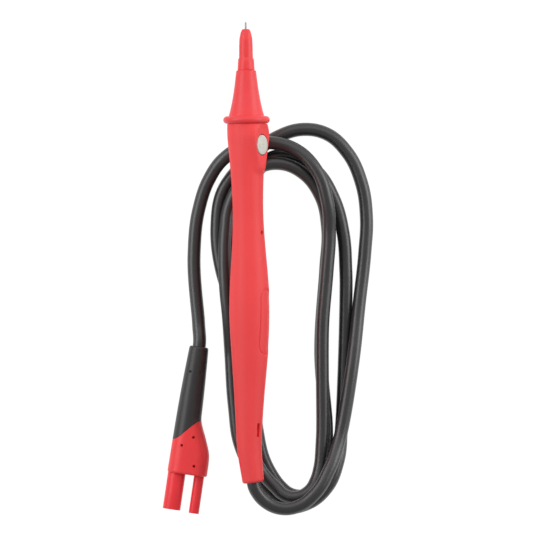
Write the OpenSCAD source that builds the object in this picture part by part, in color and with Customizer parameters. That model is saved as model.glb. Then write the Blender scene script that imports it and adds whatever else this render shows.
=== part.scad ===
/* [Needle and nib] */
// Bare needle in front of the nib
needle_reach = 3.3; // [2:0.1:5]
// Diameter of the needle
needle_d = 0.86; // [0.7:0.02:1.1]
// Diameter of the needle's stem inside the nib
stem_d = 1.6; // [1.4:0.1:2]
// Diameter of the nib just behind its round front
nib_front_d = 5.4; // [4.6:0.1:6]
// Diameter of the nib at its first step
nib_back_d = 6.25; // [6:0.05:6.8]
// Distance from the needle's root to the first step
first_step_at = 13.4; // [10:0.1:15]
// Diameter of the nib behind the first step
collar_d = 7.1; // [6.9:0.1:7.5]
// Distance from the needle's root to the nose
nose_at = 18.6; // [17:0.1:22]
// Diameter of the nib's shank inside the nose
shank_d = 6.4; // [5.6:0.1:6.6]
// Length of the shank inside the nose
shank_len = 10.4; // [6:0.1:12]

/* [Nose and guard] */
// Diameter of the nose at its front
nose_front_d = 8.9; // [8.2:0.1:9.6]
// Diameter of the nose where it meets the guard
nose_back_d = 16.2; // [14:0.1:18]
// Distance from the needle's root to the guard's front
guard_at = 39.2; // [36:0.1:42]
// Thickness of the finger guard
guard_w = 3.3; // [2.6:0.1:4]
// Diameter of the finger guard
guard_d = 21; // [19:0.1:26]
// Length of the nose's spigot inside the handle
spigot_len = 2.8; // [1.5:0.1:2.9]

/* [Handle] */
// Diameter of the handle behind the guard
shoulder_d = 17.2; // [16.6:0.1:18]
// Distance from the needle's root to the end of the shoulder
shoulder_at = 50; // [48:0.5:52]
// Diameter of the neck
neck_d = 13.8; // [13.2:0.1:15]
// Distance from the needle's root to the neck
neck_at = 82; // [78:0.5:88]
// Diameter of the belly
belly_d = 18.2; // [17:0.1:20]
// Distance from the needle's root to the belly
belly_at = 126; // [120:0.5:132]
// Diameter where the belly has run out
grip_end_d = 13.6; // [13:0.1:15]
// Distance from the needle's root to the end of the grip
grip_end_at = 165; // [164:0.5:170]
// Diameter where the tail starts to bend
tail_d = 11.1; // [10.4:0.1:12]
// Distance from the needle's root to the bend of the tail
tail_at = 189; // [186:0.5:194]
// Length of the bent tail
tail_len = 15.2; // [10:0.1:20]
// Diameter of the tail at its end
tail_end_d = 9.6; // [9:0.1:10.4]
// Angle by which the lead pulls the tail aside
tail_turn = 6.6; // [0:0.1:10]
// Thickness of the moulded skin
skin_wall = 1.6; // [1.4:0.05:1.8]
// Thickness of the core's wall
core_wall = 1.5; // [1.3:0.05:1.6]

/* [Button] */
// Distance from the needle's root to the button
button_at = 52.2; // [51.5:0.1:54]
// Angle of the button from straight up
button_turn = 59; // [40:0.5:70]
// Diameter of the button
button_d = 9.1; // [8.4:0.1:9.4]
// Distance from the probe's axis to the button's face
button_face = 8.5; // [8.3:0.05:8.8]
// Travel of the button
button_travel = 1.2; // [0.6:0.1:1.3]
// Diameter of the pod's broad end
pod_d = 12.8; // [12.4:0.1:13.6]
// Length of the pod
pod_len = 24; // [20:0.1:26]
// Distance from the probe's axis to the pod's face
pod_face = 8.3; // [8.1:0.05:8.7]

/* [Marks in the skin] */
// Length of the oval recess
recess_len = 30.3; // [20:0.1:36]
// Width of the oval recess
recess_w = 10.8; // [8:0.1:12]
// Depth of the oval recess
recess_deep = 0.4; // [0.2:0.05:0.8]
// Distance from the needle's root to the recess's middle
recess_at = 131.8; // [128:0.1:136]
// Diameter of the round mark
round_mark_d = 1.9; // [1.2:0.1:2.6]
// Distance from the needle's root to the round mark
round_mark_at = 91.6; // [86:0.1:100]
// Length of the slot mark
slot_len = 6.3; // [4:0.1:8]
// Width of the slot mark
slot_w = 1.5; // [1:0.1:2]
// Distance from the needle's root to the slot mark
slot_at = 180.4; // [176:0.1:183]

/* [Lead] */
// Diameter of the lead
cable_d = 6; // [5:0.1:6]
// Diameter of the insulated conductor to the needle
hv_lead_d = 2.2; // [1.6:0.1:2.4]
// Diameter of each conductor to the switch
signal_lead_d = 1.1; // [0.8:0.1:1.3]

/* [Plug] */
// Thickness of the plug's body at the prongs
plug_t = 12.2; // [11.8:0.1:13]
// Diameter of the strain relief where it meets the body
relief_base_d = 11.4; // [10.6:0.1:11.8]
// Distance between the two prongs
prong_pitch = 10.2; // [9.8:0.1:11]
// Outer diameter of the main prong's sleeve
main_sleeve_d = 8; // [7.6:0.1:8.4]
// Bore of the main prong's sleeve
main_bore_d = 6.4; // [5.6:0.1:6.8]
// Length of the main prong's sleeve
main_sleeve_len = 16.6; // [12:0.1:18]
// Diameter of the main contact pin
main_pin_d = 4; // [3.8:0.05:4.2]
// Outer diameter of the small prong's sleeve
small_sleeve_d = 4.6; // [4.4:0.1:5]
// Bore of the small prong's sleeve
small_bore_d = 3.6; // [3:0.1:3.7]
// Length of the small prong's sleeve
small_sleeve_len = 17; // [12:0.1:18]
// Diameter of the small contact pin
small_pin_d = 1.8; // [1.6:0.1:2.2]
// Length of the red body along the main prong
plug_body_len = 25; // [24:0.1:28]
// Length of the black strain relief from the prongs' root to its top
relief_top = 58; // [50:0.5:70]
// Diameter of the strain relief at its top
relief_d = 8.6; // [8:0.1:9.6]

/* [Hidden] */
$fn = 64;

// Clearances
slide_gap = 0.1;
cable_gap = 0.05;
cut = 1;

// Height of the probe's axis above the bench, with two layers of the lead below the belly
axis_height = 21.6;

// Needle: length of its taper, and the solder cup at its back end
needle_taper = 0.6;
cup_gap = 0.6;
cup_d = 2.4;
cup_bore_d = 1.6;
cup_len = 5.6;
cup_floor = 1.5;

// Nib: its flat front, the swell behind it and how much the collar grows towards the nose
nib_tip_d = 2.6;
nib_front_at = 3.3;
nib_swell_at = 4.4;
nib_swell = 0.4;
collar_grow = 0.55;
step_chamfer = 0.3;
collar_chamfer = 0.1;

// Nose: how fast its radius grows at each end
nose_start_slope = 0.12;
nose_end_slope = 0.3;
nose_chamber_d = 7.2;
guard_overlap = 0.2;
seat_inset = 0.5;

// Handle: shape of the shoulder, the grip and the tail
handle_at = guard_at + guard_w + slide_gap;
shoulder_swell = 0.15;
shoulder_slope = -0.09;
grip_slope = -0.07;
tail_slope = -0.035;
tail_round = 1.2;
tail_draft = 0.1;
bend_swell = 0.05;
handle_stations = [
    [handle_at, shoulder_d / 2 + shoulder_swell, 0],
    [shoulder_at, shoulder_d / 2, shoulder_slope],
    [neck_at, neck_d / 2, 0],
    [belly_at, belly_d / 2, 0],
    [grip_end_at, grip_end_d / 2, grip_slope],
    [tail_at, tail_d / 2, tail_slope]
];
nose_stations = [
    [nose_at, nose_front_d / 2, nose_start_slope],
    [guard_at + guard_overlap, nose_back_d / 2, nose_end_slope]
];

// Core: its end wall grips the lead behind the ferrule
jacket_ahead = 7;
jacket_end_at = grip_end_at - jacket_ahead;
ferrule_at = jacket_end_at + 2;
ferrule_len = 4;
core_end_wall = 3.4;
core_end_at = ferrule_at + ferrule_len + core_end_wall;

// Button: the flange below the skin keeps it in, and the stem presses the switch
flange_w = 0.65;
flange_d = button_d + 2 * flange_w;
flange_t = 0.9;
flange_top = 6.2;
flange_spare = 0.2;
pocket_d = flange_d + 4 * slide_gap;
pocket_wall = 0.9;
pocket_floor = flange_top - flange_t - button_travel - flange_spare;
stem_hole_d = 4.2;
button_stem_d = 3.8;
button_round = 0.4;
button_dome = 0.2;
pod_round = 0.9;
pod_tail_d = 6;
pod_head_ahead = 4.2;
dish_rim = 0.3;
dish_deep = 0.15;
dish_ahead = 1;

// Switch, with the board's faces measured from the probe's axis
board_top = -0.3;
board_t = 1.2;
board_w = 6.8;
board_len = 19;
board_ahead = 5.2;
board_lead_gap = 0.4;
hv_lead_side = 1.3;
signal_lead_side = 0.9;
signal_lead_up = 1.3;
signal_pad = 2.5;
switch_w = 6;
switch_top = 2.7;
switch_cover_t = 0.3;
switch_gap = 0.2;
well_floor = switch_top + switch_gap;
plunger_d = 2.4;
plunger_len = 2;
plunger_top = switch_top + button_travel;
plunger_well = plunger_top - plunger_len - button_travel - switch_gap;

// Marks: turn of each from straight up
recess_turn = 57;
round_mark_turn = 59;
slot_turn = 28;
slot_deep = 2;

// Plug: where it lies on the bench, and how it is turned
plug_x = -32.9;
plug_y = -199.9;
plug_turn = 8.8;
plug_r = plug_t / 2;
relief_u = 1.75;
far_lobe_u = 7.6;
far_lobe_len = 9;
shoulder_u = 5;
shoulder_v = 17;
edge_chamfer = 0.5;
seam_low = 14.8;
seam_curve = 0.65;
relief_slope = -0.06;
relief_round = 0.8;
relief_step = 3;
relief_pin_d = 1.2;
relief_pin_at = 46.3;
relief_pin_apart = 4.6;
body_pin_d = 1.3;
body_pin_deep = 2.2;
body_pins = [[5.2, 17.1], [0.4, 12.8], [7.3, 4.2]];
relief_stations = [
    [0, plug_r, (relief_base_d / 2 - plug_r) / plug_body_len],
    [plug_body_len, relief_base_d / 2, (relief_base_d / 2 - plug_r) / plug_body_len],
    [relief_top, relief_d / 2, relief_slope]
];

// Plug: the carrier, the contacts and the space for the conductors behind them
carrier_front = 2;
carrier_back = 10;
carrier_web_t = 3;
main_boss_d = 7.2;
small_boss_d = 4.6;
pin_setback = 1;
sleeve_step = 0.2;
main_seat_d = 3.2;
main_core_d = 2.9;
main_cup_len = 3.2;
main_cup_bore_d = 2;
collar_end = 3;
small_seat_d = 2.4;
small_cup_len = 1.5;
cage_wall = 0.35;
cage_len = 9;
cage_band = 0.9;
cage_slots = 5;
cage_slot_w = 0.35;
cage_slot_at = 1.3;
chamber_h = 3.6;
chamber_side = 1.6;
chamber_back = 13.4;
channel_back = 18;
channel_side = 5;
lead_bore_d = 4.4;
jacket_stop = 26;
plug_lead_d = 1.9;
plug_lead_side = 0.9;
plug_signal_d = 1;
plug_signal_side = 0.6;
signal_bend_u = 1.3;

// Lead: points along its route, x and y in the probe's frame and height above the bench
cable_sides = 10;
lead_sides = 8;
lead_straight = 0.6;
lead_run = 5;
cable_inside = [
    [0, -jacket_end_at, axis_height],
    [0, -tail_at, axis_height]
];
cable_route = [
    [4, -209.5, 21],
    [7.5, -213.1, 20.5],
    [13.6, -215.8, 20],
    [22, -214.9, 19.8],
    [29.8, -209, 19.3],
    [35.8, -199, 16.8],
    [40.5, -186, 12],
    [47.3, -149, 9],
    [50.2, -124.5, 4.8],
    [53, -101, 3],
    [53.9, -85.5, 3],
    [51.6, -68.9, 3],
    [45.6, -55.8, 3],
    [36, -47, 3],
    [25, -45, 3],
    [13.5, -48.5, 3],
    [3, -56, 3],
    [-11.7, -74.4, 3],
    [-13.8, -88, 3],
    [-11.7, -109, 3],
    [-4.5, -129, 3],
    [2, -147.5, 3],
    [3.4, -180, 3],
    [7.4, -196.4, 3],
    [13.8, -206.5, 3],
    [17.8, -209.8, 3],
    [22.9, -211, 3],
    [27.9, -209.8, 3],
    [31.8, -206.4, 3],
    [33.9, -201.6, 3],
    [34.7, -195, 3],
    [35, -180, 3],
    [32.7, -147, 3],
    [35.3, -108, 3],
    [36.3, -90, 3.6],
    [33, -74.9, 7.2],
    [25.9, -65.3, 8.3],
    [15.5, -60.5, 8.5],
    [5.5, -62, 9.5],
    [-2.5, -69, 9],
    [-8, -79, 8],
    [-10, -92, 8.5],
    [-10.1, -116, 9.4],
    [-8.9, -130, 8],
    [-8, -146, 3.5],
    [-6.6, -170, 3],
    [-4.1, -187.6, 3],
    [1.2, -199.4, 3],
    [8.2, -209.4, 4.7],
    [17, -215.6, 8.3],
    [26.6, -213.9, 9.1],
    [35.2, -206.6, 9.1],
    [40, -195.2, 6.9],
    [41.8, -180, 3],
    [44.4, -110, 3],
    [43.3, -92.3, 3],
    [39.1, -76.4, 3],
    [31.2, -63.7, 3],
    [20.5, -57.2, 3],
    [12, -57.3, 3],
    [4, -64.7, 3],
    [-5, -86, 3],
    [-5, -100, 3.5],
    [-3.5, -112, 6.8],
    [-1.5, -125, 9.2],
    [-1, -146, 9.3],
    [-0.5, -183, 9.2],
    [4.5, -198, 9.4],
    [11.2, -206.2, 11.2],
    [16.2, -210.4, 13],
    [22.1, -211, 14.1],
    [27.2, -208.2, 13.7],
    [30.2, -203.4, 11.9],
    [31.9, -197.6, 10.4],
    [33.1, -184, 9.2],
    [33.7, -132, 9.2],
    [35.8, -109, 9.2],
    [37, -92, 9.7],
    [36, -77, 12.9],
    [31.4, -63.8, 13.2],
    [21.6, -54, 11.2],
    [11, -51, 9.5],
    [0, -52, 9.5],
    [-10.2, -57.8, 8],
    [-17.4, -67.6, 4.5],
    [-21.9, -80.5, 3],
    [-24.3, -101, 3],
    [-22.5, -132.5, 4]
];

// Radius of a profile at a distance behind the needle's root, as a smooth curve from one station to the next
function blend(a, b, d) =
    let (h = b[0] - a[0], t = (d - a[0]) / h)
    a[1] * (2 * t ^ 3 - 3 * t ^ 2 + 1) + a[2] * h * (t ^ 3 - 2 * t ^ 2 + t)
    + b[1] * (3 * t ^ 2 - 2 * t ^ 3) + b[2] * h * (t ^ 3 - t ^ 2);
function radius_at(stations, d, i = 0) =
    i >= len(stations) - 2 || d <= stations[i + 1][0]
    ? blend(stations[i], stations[i + 1], d)
    : radius_at(stations, d, i + 1);
function curve(stations, from, to, inset, step) =
    let (n = ceil((to - from) / step))
    [for (i = [0:n]) let (d = from + (to - from) * i / n) [radius_at(stations, d) - inset, -d]];
function handle_r(d) = radius_at(handle_stations, d);
function core_r(d) = handle_r(d) - skin_wall;

// Swept tube along a list of points
function unit(v) = v / norm(v);
function heading(p, i) =
    unit((i == 0 ? [0, 0, 0] : unit(p[i] - p[i - 1]))
    + (i == len(p) - 1 ? [0, 0, 0] : unit(p[i + 1] - p[i])));
function ring(c, dir, r, sides) =
    let (side = unit(cross(dir, [0, 0, 1])), up = cross(side, dir))
    [for (k = [0:sides - 1]) let (a = 360 * k / sides - 90) c + r * (cos(a) * side + sin(a) * up)];

module tube(points, r, sides) {
    last = len(points) - 1;
    rings = [for (i = [0:last]) each ring(points[i], heading(points, i), r, sides)];
    walls = [
        for (i = [0:last - 1], k = [0:sides - 1])
        let (a = i * sides + k, b = i * sides + (k + 1) % sides)
        each [[a, b, b + sides], [a, b + sides, a + sides]]
    ];
    front = [for (k = [sides - 1:-1:0]) k];
    back = [for (k = [0:sides - 1]) last * sides + k];
    polyhedron(rings, concat([front], walls, [back]), convexity = 10);
}

// Frames: turned pieces have their axis along Y, and facing pieces look out of the handle's side
module along_y() {
    rotate([-90, 0, 0]) children();
}

module turned(points) {
    along_y() rotate_extrude() polygon(points);
}

module facing(at, turn) {
    translate([0, -at, 0]) rotate([0, turn, 0]) children();
}

module at_button() {
    facing(button_at, button_turn) children();
}

module at_tail() {
    translate([0, -tail_at, 0]) rotate([0, 0, tail_turn]) children();
}

module at_plug() {
    translate([plug_x, plug_y, plug_r - axis_height]) rotate([0, 0, -plug_turn]) children();
}

// A solid bounded by a smooth profile between two distances
module profile_solid(stations, from, to, inset = 0, step = 3) {
    turned(concat([[0, -from]], curve(stations, from, to, inset, step), [[0, -to]]));
}

// Needle: one turned steel pin with a stem, a shoulder and a solder cup
needle_cup_at = nose_at + shank_len + cup_gap;
needle_outline = [
    [0, needle_reach],
    [needle_d / 6, needle_reach],
    [needle_d / 2, needle_reach - needle_taper],
    [needle_d / 2, 0],
    [stem_d / 2, -(stem_d - needle_d) / 2],
    [stem_d / 2, -needle_cup_at],
    [cup_d / 2, -needle_cup_at],
    [cup_d / 2, -needle_cup_at - cup_len],
    [0, -needle_cup_at - cup_len]
];

module needle() {
    color("silver")
    difference() {
        turned(needle_outline);
        translate([0, -needle_cup_at - cup_len - cut, 0]) along_y()
            cylinder(d = cup_bore_d, h = cup_len - cup_floor + cut);
    }
}

// Nib: the insulation moulded round the needle, with a round front and one step
module needle_nib() {
    front_round = (nib_front_d - nib_tip_d) / 4;
    color("crimson")
    difference() {
        turned(concat(
            [[0, 0], [nib_tip_d / 2, 0]],
            [for (a = [20:20:80]) [
                nib_tip_d / 2 + front_round * sin(a),
                -front_round * (1 - cos(a))
            ]],
            [
                [nib_tip_d / 2 + front_round, -front_round],
                [nib_front_d / 2, -nib_front_at],
                [(nib_front_d + nib_swell) / 2, -nib_swell_at],
                [nib_back_d / 2, -first_step_at + step_chamfer],
                [collar_d / 2, -first_step_at],
                [(collar_d + collar_grow) / 2, -nose_at + collar_chamfer],
                [(collar_d + collar_grow) / 2 - collar_chamfer, -nose_at],
                [shank_d / 2, -nose_at],
                [shank_d / 2, -nose_at - shank_len],
                [0, -nose_at - shank_len]
            ]
        ));
        turned(needle_outline);
    }
}

// Nose cone: hollow flared cone, finger guard and spigot in one moulding
module nose_cone() {
    guard_round = guard_w / 2;
    guard_mid = guard_at + guard_round;
    spigot_r = core_r(handle_at) - core_wall - slide_gap;
    color("crimson")
    difference() {
        turned(concat(
            [[0, -nose_at], [nose_front_d / 2 - step_chamfer, -nose_at]],
            curve(nose_stations, nose_at + step_chamfer, guard_at + guard_overlap, 0, 1.6),
            [for (a = [80:-20:-80]) [
                guard_d / 2 - guard_round * (1 - cos(a)),
                -guard_mid + guard_round * sin(a)
            ]],
            [
                [shoulder_d / 2 - seat_inset, -guard_at - guard_w],
                [shoulder_d / 2 - seat_inset, -handle_at],
                [spigot_r, -handle_at],
                [spigot_r, -handle_at - spigot_len + step_chamfer],
                [spigot_r - step_chamfer, -handle_at - spigot_len],
                [0, -handle_at - spigot_len]
            ]
        ));
        translate([0, -nose_at - shank_len, 0]) along_y() cylinder(d = shank_d, h = shank_len + cut);
        translate([0, -handle_at - spigot_len - cut, 0]) along_y()
            cylinder(d = nose_chamber_d, h = handle_at + spigot_len + cut - nose_at - shank_len);
    }
}

// Pod: the raised drop-shaped seat of the button, with round edges, which starts behind the guard
module button_pod() {
    head = pod_d / 2;
    tail = pod_tail_d / 2;
    run = pod_len - head - tail;
    intersection() {
        hull() {
            translate([0, pod_head_ahead, 0]) pod_disc(head);
            translate([0, pod_head_ahead - run, 0]) pod_disc(tail);
        }
        translate([-pod_d, button_at - handle_at - 2 * pod_len, 0])
            cube([2 * pod_d, 2 * pod_len, 2 * pod_face]);
    }
}

// Dish: the pod's face is sunk a little inside its rim, and cuts the shoulder's crest flat
module pod_dish() {
    head = pod_d / 2 - pod_round - dish_rim;
    tail = pod_tail_d / 2 - pod_round - dish_rim;
    run = pod_len - (pod_d + pod_tail_d) / 2 - pod_head_ahead + dish_ahead;
    lean = asin((head - tail) / run);
    translate([0, dish_ahead, pod_face - dish_deep]) linear_extrude(pod_face) {
        circle(r = head);
        translate([0, -run]) circle(r = tail);
        polygon([
            [head * cos(lean), -head * sin(lean)],
            [-head * cos(lean), -head * sin(lean)],
            [-tail * cos(lean), -run - tail * sin(lean)],
            [tail * cos(lean), -run - tail * sin(lean)]
        ]);
    }
}

module pod_disc(r) {
    rotate_extrude($fn = 32)
    polygon(concat(
        [[0, 0], [r, 0]],
        [for (a = [0:30:90]) [r - pod_round + pod_round * cos(a), pod_face - pod_round + pod_round * sin(a)]],
        [[0, pod_face]]
    ));
}

module oval(l, w, h) {
    linear_extrude(h) {
        square([w, l - w], center = true);
        for (s = [-1, 1]) translate([0, s * (l - w) / 2]) circle(d = w);
    }
}

// Core: the two rigid halves inside the skin
module core_body() {
    profile_solid(handle_stations, handle_at, core_end_at, skin_wall);
}

module core_cavity() {
    profile_solid(handle_stations, handle_at - 0.01, ferrule_at + ferrule_len, skin_wall + core_wall);
}

module cable_bore() {
    r = cable_d / 2 + cable_gap;
    translate([0, -tail_at, 0]) along_y() cylinder(r = r, h = tail_at - jacket_end_at);
    at_tail() {
        sphere(r = r + bend_swell);
        translate([0, -tail_len - cut, 0]) along_y() cylinder(r = r, h = tail_len + cut);
    }
}

module core_half(side) {
    difference() {
        union() {
            intersection() {
                difference() {
                    core_body();
                    core_cavity();
                }
                facing(0, button_turn) half_space(side);
            }
            children();
        }
        cable_bore();
    }
}

module half_space(side) {
    reach = 300;
    translate([-reach / 2, -reach, side > 0 ? 0 : -reach]) cube([reach, reach, reach]);
}

module core_button_half() {
    color("firebrick")
    difference() {
        core_half(1)
            intersection() {
                core_body();
                at_button() translate([0, 0, well_floor])
                    cylinder(d = pocket_d + 2 * pocket_wall, h = button_face);
            }
        at_button() {
            translate([0, 0, pocket_floor]) cylinder(d = pocket_d, h = button_face);
            translate([0, 0, well_floor - cut]) cylinder(d = stem_hole_d, h = button_face);
        }
    }
}

module core_back_half() {
    rail_w = 3.6;
    rail_h = 1.4;
    rail_lap = 1.2;
    color("firebrick")
    core_half(-1)
        intersection() {
            core_body();
            at_button() for (s = [-1, 1])
                translate([
                    s * (board_w / 2 - rail_lap + rail_w / 2) - rail_w / 2,
                    board_ahead - board_len,
                    board_top - board_t - rail_h
                ])
                cube([rail_w, board_len, rail_h]);
        }
}

// Skin: the soft outer moulding, with the pod, the button's hole, the marks and the bent tail
module handle_skin() {
    end_r = tail_end_d / 2;
    color("red")
    difference() {
        union() {
            profile_solid(handle_stations, handle_at, tail_at);
            at_tail() sphere(r = tail_d / 2 + bend_swell);
            at_tail() turned(concat(
                [[0, 0], [tail_d / 2, 0], [end_r + tail_draft, -tail_len + tail_round]],
                [for (a = [0:18:90]) [
                    end_r - tail_round * (1 - cos(a)),
                    -tail_len + tail_round * (1 - sin(a))
                ]],
                [[0, -tail_len]]
            ));
            at_button() button_pod();
        }
        core_body();
        cable_bore();
        at_button() {
            cylinder(d = button_d + 2 * slide_gap, h = pod_face + cut);
            cylinder(d = pocket_d, h = flange_top + slide_gap);
            pod_dish();
        }
        oval_recess();
        facing(round_mark_at, round_mark_turn) cylinder(d = round_mark_d, h = belly_d);
        facing(slot_at, slot_turn) translate([-slot_w / 2, -slot_len / 2, handle_r(slot_at) - slot_deep])
            cube([slot_w, slot_len, belly_d]);
    }
}

module oval_recess() {
    intersection() {
        facing(recess_at, recess_turn) oval(recess_len, recess_w, belly_d);
        difference() {
            profile_solid(handle_stations, neck_at, grip_end_at, -cut);
            profile_solid(handle_stations, neck_at - cut, grip_end_at + cut, recess_deep);
        }
    }
}

// Button: round cap with a flange and a stem, which slides in the pod
module test_button() {
    r = button_d / 2;
    color("gainsboro")
    at_button() rotate_extrude() polygon(concat(
        [
            [0, plunger_top],
            [button_stem_d / 2, plunger_top],
            [button_stem_d / 2, flange_top - flange_t],
            [flange_d / 2, flange_top - flange_t],
            [flange_d / 2, flange_top],
            [r, flange_top]
        ],
        [for (a = [0:22.5:90]) [
            r - button_round * (1 - cos(a)),
            button_face - button_round * (1 - sin(a))
        ]],
        [for (t = [0.6, 0.3, 0]) [r * t, button_face + button_dome * (1 - t * t)]]
    ));
}

// Switch: a small push switch on its board below the button
module switch_board() {
    color("darkgreen")
    at_button() translate([-board_w / 2, board_ahead - board_len, board_top - board_t])
        cube([board_w, board_len, board_t]);
}

module switch_body() {
    color("dimgray")
    at_button() difference() {
        translate([-switch_w / 2, -switch_w / 2, board_top])
            cube([switch_w, switch_w, switch_top - switch_cover_t - board_top]);
        translate([0, 0, plunger_well]) cylinder(d = plunger_d + 2 * slide_gap, h = switch_top);
    }
}

module switch_cover() {
    color("lightgray")
    at_button() difference() {
        translate([-switch_w / 2, -switch_w / 2, switch_top - switch_cover_t])
            cube([switch_w, switch_w, switch_cover_t]);
        cylinder(d = plunger_d + 2 * slide_gap, h = switch_top + cut);
    }
}

module switch_plunger() {
    color("black")
    at_button() translate([0, 0, plunger_top - plunger_len]) cylinder(d = plunger_d, h = plunger_len);
}

// Conductors inside the handle, with their points as side step, distance behind the root and height
module handle_lead(points, d) {
    facing(0, button_turn) tube([for (p = points) [p[0], -p[1], p[2]]], d / 2, lead_sides);
}

module needle_conductor() {
    cup_end = needle_cup_at + cup_len;
    below_board = board_top - board_t - hv_lead_d / 2 - board_lead_gap;
    color("darkred")
    handle_lead([
        [0, cup_end, 0],
        [0, cup_end + lead_straight, 0],
        [0, cup_end + lead_run, below_board / 4],
        [0, button_at - board_ahead, below_board],
        [0, button_at + board_len - board_ahead, below_board],
        [0, neck_at, below_board / 2],
        [0, jacket_end_at - lead_run, -hv_lead_side],
        [0, jacket_end_at, -hv_lead_side]
    ], hv_lead_d);
}

module switch_conductors() {
    board_end = button_at + board_len - board_ahead;
    color("goldenrod")
    for (s = [-1, 1]) handle_lead([
        [s * signal_lead_side, board_end - signal_pad, board_top + signal_lead_d / 2],
        [s * signal_lead_side, board_end + 1, board_top + signal_lead_d / 2 + slide_gap],
        [s * signal_lead_side, neck_at, signal_lead_up],
        [s * signal_lead_side, jacket_end_at, signal_lead_up]
    ], signal_lead_d);
}

module cable_ferrule() {
    color("lightsteelblue")
    translate([0, -ferrule_at - ferrule_len, 0]) along_y() difference() {
        cylinder(r = core_r(ferrule_at + ferrule_len) - core_wall - cable_gap, h = ferrule_len);
        translate([0, 0, -cut]) cylinder(r = cable_d / 2 - cable_gap, h = ferrule_len + 2 * cut);
    }
}

// Lead: one tube from the ferrule in the handle to the plug
function plug_point(u, v) = [
    plug_x + u * cos(plug_turn) + v * sin(plug_turn),
    plug_y - u * sin(plug_turn) + v * cos(plug_turn),
    plug_r - axis_height
];
tail_end = [
    tail_len * sin(tail_turn),
    -tail_at - tail_len * cos(tail_turn),
    axis_height
];

module cable() {
    points = concat(cable_inside, [tail_end], cable_route);
    laid = [for (p = points) [p[0], p[1], p[2] - axis_height]];
    color("dimgray")
    tube(
        concat(laid, [plug_point(relief_u, relief_top), plug_point(relief_u, jacket_stop)]),
        cable_d / 2, cable_sides
    );
}

// Plug: red body and black strain relief meet along a curved seam
function seam_at(u) =
    let (t = (u - relief_u + plug_r) / (2 * plug_r), s = (1 - cos(180 * max(0, min(1, t)))) / 2)
    seam_low + (plug_body_len - seam_low) * (seam_curve * s + (1 - seam_curve) * t);

module prong_side_of_seam() {
    reach = 30;
    steps = 16;
    lo = relief_u - plug_r - 1;
    hi = relief_u + plug_r + 1;
    edge = [for (i = [steps:-1:0]) let (u = lo + (hi - lo) * i / steps) [u, seam_at(u)]];
    translate([0, 0, -reach / 2]) linear_extrude(reach)
        polygon(concat([[lo - reach, -reach], [reach, -reach], [reach, seam_at(hi)]], edge, [[lo - reach, seam_at(lo)]]));
}

function plug_body_r(v) = plug_r + (relief_base_d / 2 - plug_r) * v / plug_body_len;

module lobe(u, from, to) {
    translate([u, from, 0]) along_y()
        cylinder(r1 = plug_body_r(from), r2 = plug_body_r(to), h = to - from, $fn = 32);
}

module plug_envelope() {
    hull() {
        lobe(relief_u, edge_chamfer, plug_body_len);
        lobe(far_lobe_u, edge_chamfer, far_lobe_len);
        translate([shoulder_u, shoulder_v, 0]) sphere(r = plug_body_r(shoulder_v), $fn = 32);
        for (u = [relief_u, far_lobe_u]) translate([u, 0, 0]) along_y()
            cylinder(r = plug_r - edge_chamfer, h = edge_chamfer, $fn = 32);
    }
}

module along_prong(u, from, to, d) {
    translate([u, from, 0]) along_y() cylinder(d = d, h = to - from);
}

module conductor_space() {
    translate([-chamber_side, carrier_back, -chamber_h / 2])
        cube([prong_pitch + 2 * chamber_side, chamber_back - carrier_back, chamber_h]);
    translate([-chamber_side, carrier_back, -chamber_h / 2])
        cube([channel_side + chamber_side, channel_back - carrier_back, chamber_h]);
    along_prong(relief_u, channel_back - cut, jacket_stop, lead_bore_d);
}

module carrier_block() {
    along_prong(0, carrier_front, carrier_back, main_boss_d);
    along_prong(prong_pitch, carrier_front, carrier_back, small_boss_d);
    translate([0, carrier_front, -carrier_web_t / 2])
        cube([prong_pitch, carrier_back - carrier_front, carrier_web_t]);
}

module plug_body() {
    color("red")
    at_plug() difference() {
        intersection() {
            plug_envelope();
            prong_side_of_seam();
        }
        carrier_block();
        conductor_space();
        along_prong(0, -cut, carrier_front, main_sleeve_d - 2 * sleeve_step);
        along_prong(prong_pitch, -cut, carrier_front, small_sleeve_d - 2 * sleeve_step);
        for (p = body_pins)
            translate([p[0], p[1], plug_r - body_pin_deep]) cylinder(d = body_pin_d, h = plug_t);
    }
}

module strain_relief() {
    color("dimgray")
    at_plug() difference() {
        translate([relief_u, 0, 0]) along_y() rotate_extrude() polygon(concat(
            [[0, 0], [plug_r, 0]],
            [for (v = [seam_low - relief_step, plug_body_len]) [radius_at(relief_stations, v), v]],
            [for (v = [plug_body_len + relief_step:relief_step:relief_top - relief_round])
                [radius_at(relief_stations, v), v]],
            [for (a = [0:22.5:90]) [
                relief_d / 2 - relief_round * (1 - cos(a)),
                relief_top - relief_round * (1 - sin(a))
            ]],
            [[0, relief_top]]
        ));
        prong_side_of_seam();
        along_prong(relief_u, jacket_stop, relief_top + cut, cable_d + 2 * cable_gap);
        along_prong(relief_u, -cut, jacket_stop + cut, lead_bore_d);
        for (s = [-1, 1])
            translate([relief_u + s * relief_pin_apart / 2, relief_pin_at, cable_d / 2])
            cylinder(d = relief_pin_d, h = plug_t);
    }
}

module contact_carrier() {
    color("ivory")
    at_plug() difference() {
        carrier_block();
        along_prong(0, 0, carrier_back + cut, main_seat_d);
        along_prong(prong_pitch, 0, carrier_back + cut, small_seat_d);
    }
}

// Prongs: each is a contact pin inside an insulating sleeve
module sleeve(u, d, bore, len) {
    at_plug() difference() {
        union() {
            along_prong(u, -len, 0, d);
            along_prong(u, -cut, carrier_front, d - 2 * sleeve_step);
        }
        along_prong(u, -len - cut, carrier_front + cut, bore);
    }
}

module main_sleeve() {
    color("red") sleeve(0, main_sleeve_d, main_bore_d, main_sleeve_len);
}

module small_sleeve() {
    color("red") sleeve(prong_pitch, small_sleeve_d, small_bore_d, small_sleeve_len);
}

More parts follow.
